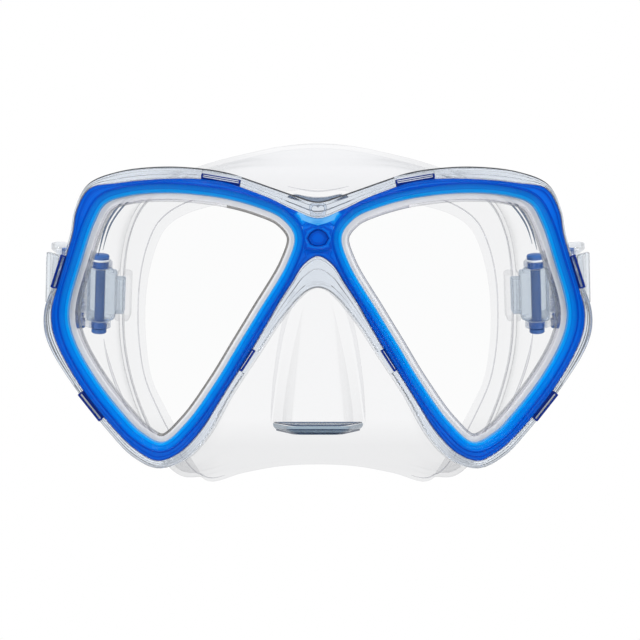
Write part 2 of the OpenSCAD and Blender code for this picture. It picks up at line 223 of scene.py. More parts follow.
class Shell:
    """Collects rings and the faces between them. Points are in millimetres."""

    def __init__(self):
        self.points, self.across, self.faces, self.slots = [], [], [], []

    def ring(self, points, across=0.0):
        start = len(self.points)
        self.points += [Vector(p) for p in points]
        self.across += [across] * (len(self.points) - start)
        return list(range(start, len(self.points)))

    def face(self, ids, slot=0):
        self.faces.append(ids)
        self.slots.append(slot)

    def ends(self, ids):
        """Closes the first and the last ring with one face each."""
        self.face(ids[0])
        self.face(ids[-1])

    def band(self, a, b, slot=0):
        for i in range(len(a)):
            j = (i + 1) % len(a)
            self.face((a[i], a[j], b[j], b[i]), slot)

    def loft(self, rings, slots=None, closed=False, across=None):
        ids = [self.ring(r, across[k] if across else 0.0) for k, r in enumerate(rings)]
        for k in range(len(ids) - (0 if closed else 1)):
            self.band(ids[k], ids[(k + 1) % len(ids)], slots[k] if slots else 0)
        return ids

    def cap(self, flat_loops, id_loops, place=None, lines=()):
        """Triangles inside the first loop and outside the others, creased along the lines.

        A point of a line is (across, up, depth, place in the ramp)."""
        xy, ids, edges = [], [], []
        for loop, loop_ids in zip(flat_loops, id_loops):
            start, count = len(xy), len(loop)
            xy += [Vector((p[0], p[1])) for p in loop]
            ids += list(loop_ids)
            edges += [(start + i, start + (i + 1) % count) for i in range(count)]
        for line in lines:
            start = len(xy)
            xy += [Vector(p[:2]) for p in line]
            ids += self.ring([place(*p[:3]) for p in line])
            self.across[-len(line):] = [p[3] for p in line]
            edges += [(start + i, start + i + 1) for i in range(len(line) - 1)]
        verts, _, faces, origin, _, _ = delaunay_2d_cdt(xy, edges, [], 0, 1e-5, True)
        for f in faces:
            c = sum((verts[i] for i in f), Vector((0, 0))) / len(f)
            if inside(flat_loops[0], c) and not any(inside(h, c) for h in flat_loops[1:]):
                real = [ids[origin[i][0]] for i in f if origin[i]]
                if len(set(real)) == 3:
                    self.face(tuple(real))

    def make(self, name, materials, sharp, scale=MM):
        mesh = bpy.data.meshes.new(name)
        mesh.from_pydata([p * scale for p in self.points], [], self.faces)
        for material in materials:
            mesh.materials.append(material)
        mesh.polygons.foreach_set("material_index", self.slots)
        mesh.attributes.new("across", "FLOAT", "POINT").data.foreach_set("value", self.across)
        b = bmesh.new()
        b.from_mesh(mesh)
        bmesh.ops.remove_doubles(b, verts=b.verts, dist=1e-7)
        bmesh.ops.recalc_face_normals(b, faces=b.faces)
        b.to_mesh(mesh)
        b.free()
        shade_smooth(mesh, sharp)
        obj = bpy.data.objects.new(name, mesh)
        bpy.context.scene.collection.objects.link(obj)
        return obj


def shade_smooth(mesh, sharp):
    mesh.polygons.foreach_set("use_smooth", [True] * len(mesh.polygons))
    mesh.set_sharp_from_angle(angle=radians(sharp))


def inside(loop, p):
    x, z = loop[:, 0], loop[:, 1]
    x2, z2 = np.roll(x, -1), np.roll(z, -1)
    crosses = (z > p[1]) != (z2 > p[1])
    with np.errstate(divide="ignore", invalid="ignore"):
        at = x + (p[1] - z) * (x2 - x) / (z2 - z)
    return bool(np.sum(crosses & (p[0] < at)) % 2)


def rings_of(loop, profile, place):
    """The loop grown and placed by each (distance, depth) of a profile."""
    return [[place(p[0], p[1], y) for p in grown(loop, d)] for d, y in profile]


def plate(name, outer, outer_profile, holes, hole_profile, place, material, lines=(), sharp=35,
          across=(None, None)):
    """A plate through which every hole goes, with creases on its front along the lines."""
    shell = Shell()
    outers = shell.loft(rings_of(outer, outer_profile, place), across=across[0])
    inner = [shell.loft(rings_of(h, hole_profile, place), across=across[1]) for h in holes]
    for k in (0, -1):
        loops = [grown(outer, outer_profile[k][0])] + [grown(h, hole_profile[k][0]) for h in holes]
        shell.cap(loops, [outers[k]] + [i[k] for i in inner], place, lines if k == 0 else ())
    return shell.make(name, [material], sharp)


def bar(name, outline, z0, z1, place, material, holes=(), edge=0.4):
    """A prism of the outline (x, y) from z0 to z1 with rounded edges."""
    def profile(sign):
        turn = [(edge * (1 - sin(a)), edge * (1 - cos(a))) for a in (0, pi / 6, pi / 3, pi / 2)]
        turn = [(-sign * i, z) for i, z in turn]
        return [(d, z0 + z) for d, z in turn] + [(d, z1 - z) for d, z in turn[::-1]]
    return plate(name, outline, profile(1), holes, profile(-1), place, material, sharp=40)


def turned(name, profile, place, material, centre=(0, 0)):
    """A closed profile of (radius, z) turned about the line through centre along z."""
    shell = Shell()
    angles = [2 * pi * i / TURN_SIDES for i in range(TURN_SIDES)]
    shell.loft([[place(centre[0] + r * cos(a), centre[1] + r * sin(a), z) for a in angles]
                for r, z in profile], closed=True)
    return shell.make(name, [material], 30)


def side_profile(r, z0, z1, edge):
    """Outside of a round bar with rounded edges, as (radius, z)."""
    cut = 0.3 * edge
    return [(r - edge, z0), (r - cut, z0 + cut), (r, z0 + edge),
            (r, z1 - edge), (r - cut, z1 - cut), (r - edge, z1)]


def pin_profile(r, z0, z1, edge=0.2):
    """A solid pin, from its axis round to its axis."""
    return [(AXIS, z0)] + side_profile(r, z0, z1, edge) + [(AXIS, z1)]


def tube_profile(inner, r, z0, z1, edge):
    cut = 0.5 * edge
    return [(inner + cut, z0)] + side_profile(r, z0, z1, edge) + [
        (inner + cut, z1), (inner, z1 - cut), (inner, z0 + cut)]


def join_solids(base, others, operation):
    """Boolean of base with each of the others, which are deleted. Each has to change the base."""
    for other in others:
        change = base.modifiers.new("join", "BOOLEAN")
        change.operation, change.solver, change.object = operation, "MANIFOLD", other
        graph = bpy.context.evaluated_depsgraph_get()
        mesh = bpy.data.meshes.new_from_object(base.evaluated_get(graph))
        base.modifiers.clear()
        if len(mesh.vertices) in (0, len(base.data.vertices)):
            raise SystemExit("failed boolean of " + base.name + " with " + other.name)
        base.data = mesh
        bpy.data.objects.remove(other)


def finish_mesh(obj, name, sharp=35):
    """Names the result of booleans, cleans what they leave, and shades it."""
    obj.name = obj.data.name = name
    b = bmesh.new()
    b.from_mesh(obj.data)
    bmesh.ops.remove_doubles(b, verts=b.verts, dist=5e-7)
    bmesh.ops.dissolve_degenerate(b, edges=b.edges, dist=5e-7)
    b.to_mesh(obj.data)
    b.free()
    shade_smooth(obj.data, sharp)


# ---- materials ----


def shader(name):
    m = bpy.data.materials.new(name)
    m.use_nodes = True
    tree = m.node_tree
    tree.nodes.clear()
    out = tree.nodes.new("ShaderNodeOutputMaterial")
    return m, tree, out


def node(tree, kind, inputs=None, **settings):
    """A new node. An input is given a value or another node's output."""
    n = tree.nodes.new(kind)
    for key, value in settings.items():
        setattr(n, key, value)
    for key, value in (inputs or {}).items():
        if isinstance(value, bpy.types.NodeSocket):
            tree.links.new(value, n.inputs[key])
        else:
            n.inputs[key].default_value = value
    return n


def object_place(tree):
    return node(tree, "ShaderNodeTexCoord").outputs["Object"]


def noise(tree, scale):
    return node(tree, "ShaderNodeTexNoise", {"Vector": object_place(tree), "Scale": scale,
                                             "Detail": 3.0, "Roughness": 0.5}).outputs[0]


def spread(tree, factor, low, high, start=0.0, end=1.0):
    """The factor, which runs from start to end, carried to low to high."""
    return node(tree, "ShaderNodeMapRange", {"Value": factor, "From Min": start, "From Max": end,
                                             "To Min": low, "To Max": high}).outputs[0]


def maths(tree, operation, *terms, clamp=False):
    return node(tree, "ShaderNodeMath", dict(enumerate(terms)), operation=operation,
                use_clamp=clamp).outputs[0]


def principled(tree, **inputs):
    """A Principled shader, its inputs given with _ for each space of their names."""
    inputs = {key.replace("_", " "): value for key, value in inputs.items()}
    return node(tree, "ShaderNodeBsdfPrincipled", inputs).outputs[0]


def blend(tree, amount, a, b):
    """Shader a, and b where the amount is 1."""
    return node(tree, "ShaderNodeMixShader", {0: amount, 1: a, 2: b}).outputs[0]


def tint(tree, factor, a, b):
    mix = node(tree, "ShaderNodeMix", data_type="RGBA")
    tree.links.new(factor, mix.inputs[0])
    mix.inputs[6].default_value, mix.inputs[7].default_value = a + (1,), b + (1,)
    return mix.outputs[2]


def bump(tree, height, strength, distance=0.0002):
    return node(tree, "ShaderNodeBump", {"Height": height, "Strength": strength,
                                         "Distance": distance}).outputs[0]


SKIRT_TOP = 0.057       # metres
# The two colours between which the surface of a clear film varies
PALE_SKIN = ((0.15, 0.17, 0.2), (0.24, 0.26, 0.29))
# Dark skin of painted shade, for the fine lines where edges and grooves of the clear silicone look
# dark.
LINE_SHADE_SKIN = ((0.02, 0.04, 0.09), (0.04, 0.07, 0.14))
WARM_SKIN = ((0.1, 0.1, 0.1), (0.17, 0.165, 0.16))


def clear_film(name, through, body, edge, power, coat=0.35, rough=0.18, skin_colours=PALE_SKIN,
               glow=0.0, shade_and_light_by_height=()):
    """Soft clear plastic that is seen through, less so where it is seen from the side.

    through is the colour that passes, and the height table scales it as (part of the height,
    factor): painted shade where a factor is below 1, painted light where it is above 1.
    body and edge are how much of the skin shows from the front and from the side."""
    m, tree, out = shader(name)
    grain = noise(tree, 55.0)
    facing = node(tree, "ShaderNodeLayerWeight", {"Blend": 0.5}).outputs["Facing"]
    amount = spread(tree, maths(tree, "POWER", facing, power), body, edge)
    amount = maths(tree, "MULTIPLY", amount, spread(tree, grain, 0.85, 1.15), clamp=True)
    seen = node(tree, "ShaderNodeBsdfTransparent", {"Color": through + (1,)})
    if shade_and_light_by_height:
        height = node(tree, "ShaderNodeSeparateXYZ", {0: object_place(tree)}).outputs[2]
        height = spread(tree, height, 0.0, 1.0, -SKIRT_TOP, SKIRT_TOP)
        stops = [(at, tuple(k * c for c in through)) for at, k in shade_and_light_by_height]
        tree.links.new(colour_ramp(tree, height, stops), seen.inputs[0])
    seen = seen.outputs[0]
    skin = principled(tree, Base_Color=tint(tree, grain, *skin_colours), IOR=1.41,
                      Roughness=spread(tree, grain, rough, rough + 0.1), Coat_Weight=coat,
                      Coat_Roughness=0.08, Normal=bump(tree, noise(tree, 400.0), 0.05))
    if glow:
        lit = node(tree, "ShaderNodeBsdfTranslucent", {
            "Color": tint(tree, grain, (0.8, 0.84, 0.88), (0.95, 0.96, 0.97))}).outputs[0]
        skin = blend(tree, glow, skin, lit)
    tree.links.new(blend(tree, amount, seen, skin), out.inputs[0])
    return m


def colour_ramp(tree, factor, stops):
    ramp = node(tree, "ShaderNodeValToRGB", {0: factor})
    while len(ramp.color_ramp.elements) < len(stops):
        ramp.color_ramp.elements.new(0.5)
    for element, (at, colour) in zip(ramp.color_ramp.elements, stops):
        element.position, element.color = at, tuple(colour) + (1,)
    return ramp.outputs[0]


def clear_solid(name, low, high, rough=0.02, seen=0.0, transmission=1.0, shine=0.5, coat=0.1):
    """Hard clear or tinted plastic that bends the light. seen is how much passes straight on."""
    m, tree, out = shader(name)
    grain = noise(tree, 40.0)
    body = principled(tree, Base_Color=tint(tree, grain, low, high), IOR=1.5,
                      Transmission_Weight=transmission, Specular_IOR_Level=shine,
                      Roughness=spread(tree, grain, rough, rough * 1.6 + 0.01),
                      Coat_Weight=coat, Coat_Roughness=0.03,
                      Normal=bump(tree, noise(tree, 160.0), 0.02))
    if seen:
        straight = node(tree, "ShaderNodeBsdfTransparent", {"Color": high + (1,)}).outputs[0]
        body = blend(tree, seen, body, straight)
    tree.links.new(body, out.inputs[0])
    return m


def solid_plastic(name, low, high, rough=0.25, metallic=0.0, coat=0.3):
    m, tree, out = shader(name)
    grain = noise(tree, 90.0)
    body = principled(tree, Base_Color=tint(tree, grain, low, high), Metallic=metallic,
                      Roughness=spread(tree, grain, rough, rough + 0.12), Coat_Weight=coat,
                      Coat_Roughness=0.1, Normal=bump(tree, noise(tree, 700.0), 0.06))
    tree.links.new(body, out.inputs[0])
    return m


# The skirt is painted darker towards its bottom as painted shade, and brighter over its top as
# painted light.
silicone = clear_film("clear_silicone", (0.962, 0.963, 0.967), 0.006, 0.5, 6.0,
                      shade_and_light_by_height=((0, 0.955), (0.13, 0.955), (0.21, 1.0), (0.85, 1.0),
                                 (0.93, 1.022), (1, 1.022)))
seal_silicone = clear_film("seal_silicone", (0.93, 0.93, 0.945), 0.02, 0.95, 1.5)
# Painted shade for the floor of the nose pocket.
floor_shade_silicone = clear_film("floor_shade_silicone", (0.36, 0.46, 0.55), 0.05, 0.9, 2.0)
# Painted shade for the dark lines round the nose pocket's floor and along the grooves.
line_shade_silicone = clear_film("line_shade_silicone", (0.6, 0.68, 0.8), 0.3, 0.95, 1.0, skin_colours=LINE_SHADE_SKIN)
# Painted shade along the inner lens edge beside the nose, darker and warmer on the left than on
# the right.
shade_silicone = {-1: clear_film("shade_silicone_left", (0.66, 0.65, 0.64), 0.6, 0.95, 0.8,
                                 skin_colours=WARM_SKIN),
                  1: clear_film("shade_silicone_right", (0.8, 0.81, 0.87), 0.25, 0.9, 1.0)}
clear_frame = clear_solid("clear_frame", (0.74, 0.8, 0.88), (0.86, 0.9, 0.95), seen=0.12)
smoky_frame = clear_solid("smoky_frame", (0.2, 0.26, 0.36), (0.34, 0.4, 0.5), seen=0.15)
clear_buckle = clear_solid("clear_buckle", (0.88, 0.91, 0.95), (0.95, 0.965, 0.985), seen=0.7)
clear_lever = clear_solid("clear_lever", (0.8, 0.84, 0.89), (0.9, 0.93, 0.96), seen=0.3)
glass = clear_film("lens_glass", (0.985, 0.986, 0.986), 0.0, 0.5, 4.0, coat=1.0, rough=0.02)
blue_dark = clear_solid("blue_dark", (0.0, 0.012, 0.16), (0.0, 0.025, 0.24), rough=0.12,
                        transmission=0.25, shine=0.15, coat=0.0)
frosted = clear_film("frosted_lug", (0.86, 0.9, 0.94), 0.16, 0.75, 2.2, rough=0.4,
                     skin_colours=((0.34, 0.42, 0.5), (0.46, 0.53, 0.6)), glow=0.5)
milky = clear_film("frosted_roller", (0.97, 0.975, 0.98), 0.6, 0.8, 3.0, rough=0.4,
                   skin_colours=((0.72, 0.75, 0.8), (0.8, 0.83, 0.87)), glow=0.8)
# Painted highlight for the bright bead along each lens edge inside the blue frame.
highlight = clear_film("painted_highlight_bead", (0.96, 0.965, 0.98), 0.6, 0.8, 2.0,
                       skin_colours=((0.86, 0.87, 0.9), (0.93, 0.94, 0.96)), glow=0.4)
# Painted shade for the dark outline along the clear rim's upper edge.
rim_edge_shade = clear_film("rim_edge_shade", (0.3, 0.32, 0.36), 0.7, 1.0, 1.0,
                       skin_colours=((0.012, 0.014, 0.02), (0.03, 0.033, 0.04)))
dark_pins = solid_plastic("dark_blue_pins", (0.035, 0.11, 0.34), (0.06, 0.17, 0.46))
white_trim = solid_plastic("white_trim", (0.78, 0.8, 0.83), (0.88, 0.9, 0.92))
blue_bushes = solid_plastic("blue_bushes", (0.03, 0.12, 0.42), (0.06, 0.18, 0.52))
steel = solid_plastic("spring_steel", (0.5, 0.51, 0.53), (0.66, 0.67, 0.7), rough=0.22,
                      metallic=1.0, coat=0.0)


def place_on(obj, body, slot_name, *nodes):
    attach(obj, body)
    if nodes:
        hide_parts(*nodes)


# ---- retaining frame ----

LOZENGE_Z = 25.1        # height of the middle of the raised lozenge on the bridge
LOZENGE = [(3.3, 25.0), (2.4, 26.6), (1.1, 27.5), (0, 27.7), (-1.1, 27.5), (-2.4, 26.6),
    (-3.3, 25.0), (-2.3, 23.2), (-1.0, 22.7), (0, 22.6), (1.0, 22.7), (2.3, 23.2)]
# Rings of the lozenge from its foot inwards: size, depth, place in the ramp, which paints a light
# rim at its foot and painted shade in its crease and inside
LOZENGE_RINGS = [(1.2, 0.12, 0.42), (1.03, 0.25, 1.1), (0.86, 1.0, 0.88), (0.45, 1.05, 0.82)]


def mirror_line(line):
    return [(-k[0],) + k[1:] for k in line]


def across_bridge(half):
    """A line that goes on past the middle as its own mirror image."""
    return half + mirror_line(half[-2::-1])


def bridge_front():
    """Creases in the middle of the bridge, as lines for Shell.cap. Their places in the ramp paint
    a highlight along the brow and light beside the ridges, and shade under the brow, along the
    step and the ridge lines and in the lozenge.
    """
    ridge = [(6.3, 31, 0.4, 0.8), (5.3, 28.6, 0.7, 0.8), (4.8, 26, 0.8, 0.8), (4.8, 23, 0.8, 0.8),
             (5.4, 20.8, 0.7, 0.8), (7.4, 18.2, 0.4, 0.8)]
    brow = across_bridge([(7.0, 32.6, 0.36, 0.2), (5.2, 31.2, 0.3, 0.1),
                          (2.8, 29.9, 0.2, 0.05), (0, 29.1, 0.15, 0.05)])
    shade = [(k[0], k[1] - 0.35, k[2] + 0.02, 0.78) for k in brow[1:-1]]
    step = across_bridge([(4.3, 21.6, 0.5, 0.6), (2.2, 21.4, 0.15, 0.6), (0, 21.3, 0.1, 0.6)])
    below = across_bridge([(3.4, 21.0, 0.75, 0.9), (0, 20.8, 0.7, 0.9)])
    lines = [brow, shade, step, below]
    for offset, rise, value in ((0, 0, 0.95), (0.35, 0.12, 0.5), (-0.35, 0.12, 0.68)):
        moved = [(u + offset, z, y - rise, value) for u, z, y, _ in ridge[1:-1]]
        lines += [moved, mirror_line(moved)]
    for k, y, value in LOZENGE_RINGS:
        lines.append([(u * k, LOZENGE_Z + (z - LOZENGE_Z) * k, y, value)
                      for u, z in LOZENGE + LOZENGE[:1]])
    return lines


def blue_plastic():
    """Tinted clear plastic with fine streaks, painted light along the windows, where light comes
    through thinner plastic, and deep outside, with painted highlight and shade lines along its
    ridges and creases.
    """
    m, tree, out = shader("blue_plastic")
    across = node(tree, "ShaderNodeAttribute", attribute_name="across").outputs["Fac"]
    wander = node(tree, "ShaderNodeTexNoise", {"Vector": object_place(tree), "Scale": 14.0})
    parts = node(tree, "ShaderNodeCombineXYZ", {0: maths(tree, "MULTIPLY", across, 13.0),
                                                1: wander.outputs[0]}).outputs[0]
    streak = node(tree, "ShaderNodeTexNoise", {"Vector": parts, "Scale": 1.0, "Detail": 4.0,
                                               "Roughness": 0.7}).outputs[0]
    streak = spread(tree, streak, 0.0, 1.0, 0.32, 0.68)
    shift = maths(tree, "SUBTRACT", streak, 0.5)
    value = maths(tree, "MULTIPLY_ADD", shift, 0.16, across)
    # Stops by the place across the frame: light near 0 along the windows, where light comes
    # through the thinner plastic, then narrow light and dark bands of painted highlight and
    # painted shade along the ridge, and deep at the outer edge.
    stops = ((0.0, (0.24, 0.6, 1.0)), (0.07, (0.0, 0.42, 0.98)), (0.18, (0.0, 0.33, 0.93)),
             (0.23, (0.0, 0.16, 0.7)), (0.29, (0.0, 0.25, 0.87)), (0.45, (0.0, 0.18, 0.8)),
             (0.53, (0.0, 0.08, 0.56)), (0.6, (0.0, 0.07, 0.54)), (0.645, (0.0, 0.17, 0.82)),
             (0.7, (0.0, 0.11, 0.68)), (0.735, (0.0, 0.04, 0.42)), (0.77, (0.0, 0.14, 0.76)),
             (0.86, (0.0, 0.07, 0.52)), (0.92, (0.0, 0.12, 0.7)), (1.0, (0.0, 0.02, 0.24)))
    body = principled(tree, Base_Color=colour_ramp(tree, value, stops), Roughness=0.09,
                      Transmission_Weight=0.4, IOR=1.35, Specular_IOR_Level=0.05,
                      Normal=bump(tree, streak, 0.6, 0.0004))
    straight = node(tree, "ShaderNodeBsdfTransparent", {"Color": (0.35, 0.72, 0.96, 1)}).outputs[0]
    thin = spread(tree, across, 0.45, 0.0, 0.0, 0.12)
    tree.links.new(blend(tree, thin, body, straight), out.inputs[0])
    return m


frame_out = plate(
    "blue_retaining_frame", blue,
    [(-0.75, 0.3), (-0.45, 0.36), (-0.2, 0.6), (-0.05, 0.95), (0, 1.35), (0, LIP_Y)], windows,
    [(3.45, 0.3), (3.3, 0.2), (3.12, 0.05), (2.85, 0.03), (2.62, 0.16), (2.45, 0.4), (0.9, 1.2),
     (0.3, 1.5), (0.1, 1.65), (0, 1.9), (0, LIP_Y)],
    lens_place, blue_plastic(), bridge_front(), 28,
    # Places in the ramp: painted light at the window edge, deep at the outer edge.
    across=([0.8, 0.86, 0.93, 0.97, 1, 1],
            [0.62, 0.58, 0.55, 0.52, 0.48, 0.4, 0.16, 0.06, 0.02, 0, 0]))
# The crescent at the top of the bridge is painted as light as the edge along the windows, as
# painted light on that facet
for vertex, item in zip(frame_out.data.vertices, frame_out.data.attributes["across"].data):
    x, _, z = vertex.co / MM
    if abs(x) < 6.6 and z > 29.5 + 0.05 * x * x:
        item.value = 0.03
place_on(frame_out, "mask", "blue_frame", "retaining_frame")


def tab_axes(tab, side):
    """Axes on the edge of the blue frame: along it, out from it, and back from the front."""
    x, z, turn, _ = tab
    a = radians(turn)
    along, out = (cos(a), sin(a)), (-sin(a), cos(a))

    def place(s, r, y):
        u, w = x + s * along[0] + r * out[0], z + s * along[1] + r * out[1]
        return lens_place(side * u, w, y)
    return place


def tab_bar(name, tab, side, half, r0, r1, y0, y1, material, edge=0.25):
    outline = rounded([(-half, r0), (-half, r1), (half, r1), (half, r0)], 0.4)
    return bar(name, outline, y0, y1, tab_axes(tab, side), material, edge=edge)


def frame_tab(name, tab, side, reach, slots):
    """A snap tab with slots through it, on a root that is let into the clear rim."""
    half = tab[3] / 2
    outline = rounded([(-half, 0), (-half, reach), (half, reach), (half, 0)], 0.3)
    w = half - 0.5
    holes = [rounded([(-w, low), (-w, high), (w, high), (w, low)], 0.12)
             for low, high in zip(slots[::2], slots[1::2])]
    ladder = bar(name, outline, 0.62, 2.2, tab_axes(tab, side), blue_dark, holes, edge=0.07)
    root = tab_bar("root", tab, side, half - 0.05, -1.2, 0.12, 0.9, 2.6, blue_dark)
    join_solids(ladder, [root], "UNION")
    finish_mesh(ladder, name)
    place_on(ladder, "mask", "blue_frame", "retaining_frame")


for hand, side in SIDES:
    for number, tab in enumerate(TABS):
        frame_tab(f"{hand}_frame_tab_{number + 1}", tab, side, *TAB_SLOTS[number])

# ---- clear main frame ----


def clear_rim():
    """The clear rim and the flange behind the lenses. Its outer edge is in the material of painted
    shade.
    """
    def on_lens(loops, depths):
        return [[lens_place(p[0], p[1], y) for p in loop] for loop, y in zip(loops, depths)]

    shell = Shell()
    inset = np.minimum(0.9, 0.42 * rim_width[:, 0])
    # Outside, as (part of the inset, depth), from the front back to the collar
    outer = [(1, 1.0), (0.62, 1.1), (0.3, 1.4), (0.08, 1.9), (0, 2.6), (0, 10.9), (0.3, COLLAR_Y)]
    rings = [grown(rim, -k * inset) for k, _ in outer]
    outs = shell.loft(on_lens(rings, [y for _, y in outer]), slots=[0, 1, 1, 1, 0, 0])
    # Front face, as (part of the way out from the blue frame, depth), inwards
    relief = [(0.97, 1.0), (0.88, 1.0), (0.84, 1.15), (0.5, 1.1), (0.45, 1.3),
              (0.41, 1.75), (0.1, 1.75), (0.06, 1.1), (0.03, 1.05)]
    close, pocket = grown(blue, 0.15), grown(blue, -1.1)
    fronts = [close + k * (rings[0] - close) for k, _ in relief] + [close, pocket, pocket]
    step_y, floor_y = LIP_Y + 0.02, FLANGE_Y + FIT
    ins = shell.loft(on_lens(fronts, [y for _, y in relief] + [step_y, step_y, floor_y]))
    shell.band(outs[0], ins[0])
    openings = [grown(w, 0.5) for w in windows]
    necks = [shell.loft(on_lens([w, w], (floor_y, COLLAR_Y))) for w in openings]
    shell.cap([pocket] + openings, [ins[-1]] + [k[0] for k in necks])
    shell.cap([rings[-1]] + openings, [outs[-1]] + [k[1] for k in necks])
    return shell.make("clear_rim", [clear_frame, rim_edge_shade], 30)


rim_piece = clear_rim()
cutters = [tab_bar("cut", tab, side, tab[3] / 2 + 0.1, -1.3, 2.6, 0.45, 2.75, clear_frame, 0.1)
           for _, side in SIDES for tab in TABS]
join_solids(rim_piece, cutters, "DIFFERENCE")
finish_mesh(rim_piece, "clear_rim", 30)
FACING_UP = 0.35        # how far up the part of the rim's edge in painted shade faces at least
# Painted shade stays only on the faces of the rim's outer edge that face up.
for face in rim_piece.data.polygons:
    if face.material_index and face.normal.z < FACING_UP:
        face.material_index = 0
place_on(rim_piece, "mask", "clear_frame", "main_frame")


def upright(x, z, y):
    return Vector((x, -MASK_DEPTH + y, z))


catch_outline = rounded([(-2.3, 31.9), (-2.9, 35.0), (-2.3, 36.0), (2.3, 36.0), (2.9, 35.0),
                         (2.3, 31.9)], 0.5)
catch_hole = smooth_loop([(-1.6, 33.3), (-1.9, 34.6), (-0.9, 35.3), (0, 34.7), (0.9, 35.3),
                          (1.9, 34.6), (1.6, 33.3), (0, 32.9)], 5)
catch = bar("top_catch", catch_outline, -0.4, 1.9, upright, clear_frame, [catch_hole], edge=0.25)
place_on(catch, "mask", "clear_frame", "main_frame")
brow_outline = smooth_loop([(-9.5, 38.4), (-7.4, 39.1), (-3, 38.3), (0, 38.1), (3, 38.3),
                            (7.4, 39.1), (9.5, 38.4), (5.5, 37.1), (0, 36.5), (-5.5, 37.1)], 6)
brow = bar("brow_web", brow_outline, 5, 11.4, upright, smoky_frame, edge=0.35)
place_on(brow, "mask", "clear_frame", "main_frame")

# ---- lenses ----

for hand, side in SIDES:
    lens = plate(f"{hand}_lens_glass", grown(window_at[side], 1.2),
                 [(-0.4, GLASS_Y), (0, GLASS_Y + 0.4), (0, REAR_LIP_Y - 0.4), (-0.4, REAR_LIP_Y)],
                 [], [], lens_place, glass)
    place_on(lens, "mask", "lens_glass", f"{hand}_lens")

# ---- skirt ----


def wall_rows():
    """Points in the middle of the wall, by station round the mask and by row from front to lip."""
    rings = []
    for i, p in enumerate(COLLAR_RING):
        y = COLLAR_Y + 1.1
        a = np.array((p[0] * cos(SWEEP) - y * sin(SWEEP) * (p[0] > 0),
                      -MASK_DEPTH + p[0] * sin(SWEEP) + y * cos(SWEEP), p[1]))
        b, c, d = (np.array(k[i], float) for k in (SHOULDER, FOLD, FREE_LIP))
        waist = (b * 0.55 + c * 0.45) * np.array((0.98, 1, 1))
        rings.append([a, b, waist, c + (b - c) * 0.16 + np.array((0, -0.5, 0)), c,
                      c * 0.45 + d * 0.55 + np.array((0, 0.8, 0)), d])
    loops = [smooth_loop(both_halves([tuple(ring[k]) for ring in rings]), WALL_STEPS)
             for k in range(len(rings[0]))]
    return np.array([smooth_path(path, WALL_STEPS) for path in np.stack(loops, 1)])


wall = wall_rows()
wall_normal = np.cross(np.roll(wall, -1, 0) - np.roll(wall, 1, 0), np.gradient(wall, axis=1))
wall_normal /= np.linalg.norm(wall_normal, axis=2)[:, :, None]


def skirt_wall():
    """The wall with its thickness, which thins to the free lip and ends in a small bead."""
    half = np.interp(np.linspace(0, 1, wall.shape[1]), (0, 0.62, 0.9, 0.965, 0.985, 1),
                     (0.8, 0.8, 0.45, 0.35, 0.55, 0.5))[None, :, None]
    last = wall[:, -1] - wall[:, -2]
    tip = wall[:, -1] + 0.3 * last / np.linalg.norm(last, axis=1)[:, None]
    front, back = wall + wall_normal * half, wall - wall_normal * half
    shell = Shell()
    shell.loft([*front.swapaxes(0, 1), tip, *back.swapaxes(0, 1)[::-1]], closed=True)
    return shell.make("clear_skirt", [silicone], 40)


def nose_at(z):
    """Half widths and depths of the nose pocket at a height, and how much it narrows there."""
    table = np.array(NOSE)
    sizes = [float(np.interp(-z, -table[:, 0], table[:, k])) for k in range(1, 5)]
    curl = CURL_R - sqrt(max(0.0, CURL_R ** 2 - max(0.0, CURL_Z - z) ** 2))
    return sizes, 1 - curl / 16


def nose_solid(inset, reach, top_cut, floor):
    """Closed wedge with rounded corners, from the top of the nose pocket to its floor.

    It is smaller than the pocket by the inset, and goes back further by the reach."""
    top, low = NOSE[0][0] - top_cut, NOSE[-1][0] + floor
    heights = np.linspace(top, low, 34)
    if floor == 0:      # finer where the lower edge is rounded
        heights = [*np.linspace(top, -33.6, 30), -34.4, -35.1, -35.7, -36.3, -36.8, -37.1]
    rings = []
    for z in heights:
        (front, back, y0, y1), narrow = nose_at(z)
        f, b, y0, y1 = front - inset, back - inset, y0 + inset, y1 + reach
        outline = [(-b, y1), (-f - 0.5, y0 + 2.4), (-f + 1.6, y0), (f - 1.6, y0),
                   (f + 0.5, y0 + 2.4), (b, y1)]
        rings.append([(p[0] * narrow, p[1], z) for p in rounded(outline, NOSE_CORNERS)])
    shell = Shell()
    shell.ends(shell.loft(rings))
    return shell.make("nose", [silicone], 40)


def nose_line(name, z, inset, radius):
    """A fine line of painted shade round the nose pocket at one height, where its floor turns up.
    """
    (front, back, y0, y1), narrow = nose_at(z)
    f, b, y0, y1 = (front - inset) * narrow, (back - inset) * narrow, y0 + inset, y1 - 3
    outline = rounded([(-b, y1), (-f - 0.5, y0 + 2.4), (-f + 1.6, y0), (f - 1.6, y0),
                       (f + 0.5, y0 + 2.4), (b, y1)], NOSE_CORNERS)
    shell = Shell()
    shell.loft([[(p[0], p[1], z + radius * sin(a)) for p in grown(outline, radius * cos(a))]
                for a in (2 * pi * k / 8 for k in range(8))], closed=True)
    return shell.make(name, [line_shade_silicone], 60)


